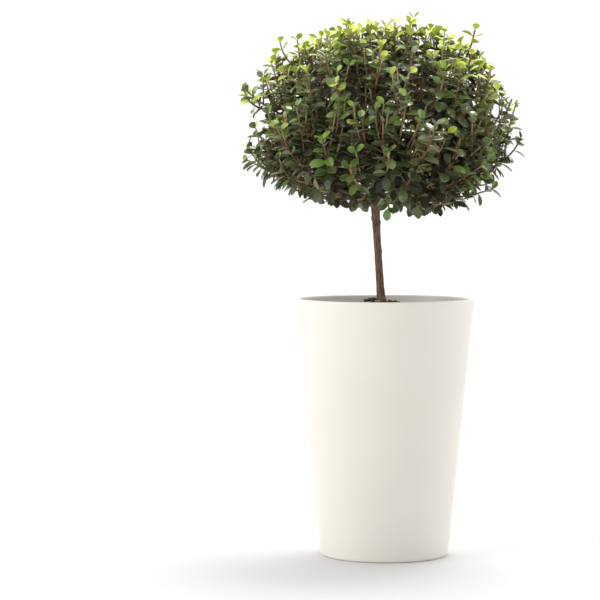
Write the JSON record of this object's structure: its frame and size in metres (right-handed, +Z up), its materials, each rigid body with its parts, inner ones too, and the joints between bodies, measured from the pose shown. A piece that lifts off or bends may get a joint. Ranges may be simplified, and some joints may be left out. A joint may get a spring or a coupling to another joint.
{
  "type": "potted round-headed standard tree",
  "caption": "Small standard tree with a clear leaning stem, a wide round head of small oval leaves on upright shoots, and a tall plain tapered pot filled with soil.",
  "frame": {"origin": "centre of the pot's flat underside, on the ground", "axes": "+Z up along the pot's axis; -Y towards the front, the side the plant is viewed from; the stem leans towards -X"},
  "size_m": [0.2741, 0.2663, 0.5152],
  "materials": {
    "pot_glaze": "satin warm-white glaze",
    "potting_soil": "matte, crumbly, with bark chips",
    "bark": "rough brown bark with small knots",
    "leaf": "glossy green leaves, lighter at the tips"
  },
  "bodies": {
    "root": {"bough_high_1": "bark", "bough_high_2": "bark", "bough_high_3": "bark", "bough_high_4": "bark", "bough_high_5": "bark", "bough_low_1": "bark", "bough_low_2": "bark", "bough_low_3": "bark", "bough_low_4": "bark", "bough_low_5": "bark", "bough_low_6": "bark", "bough_low_7": "bark", "bough_top": "bark", "foliage_high_1": "leaf", "foliage_high_2": "leaf", "foliage_high_3": "leaf", "foliage_high_4": "leaf", "foliage_high_5": "leaf", "foliage_low_1": "leaf", "foliage_low_2": "leaf", "foliage_low_3": "leaf", "foliage_low_4": "leaf", "foliage_low_5": "leaf", "foliage_low_6": "leaf", "foliage_low_7": "leaf", "foliage_top": "leaf", "pot": "pot_glaze", "potting_soil": "potting_soil", "trunk": "bark"}
  },
  "joints": []
}
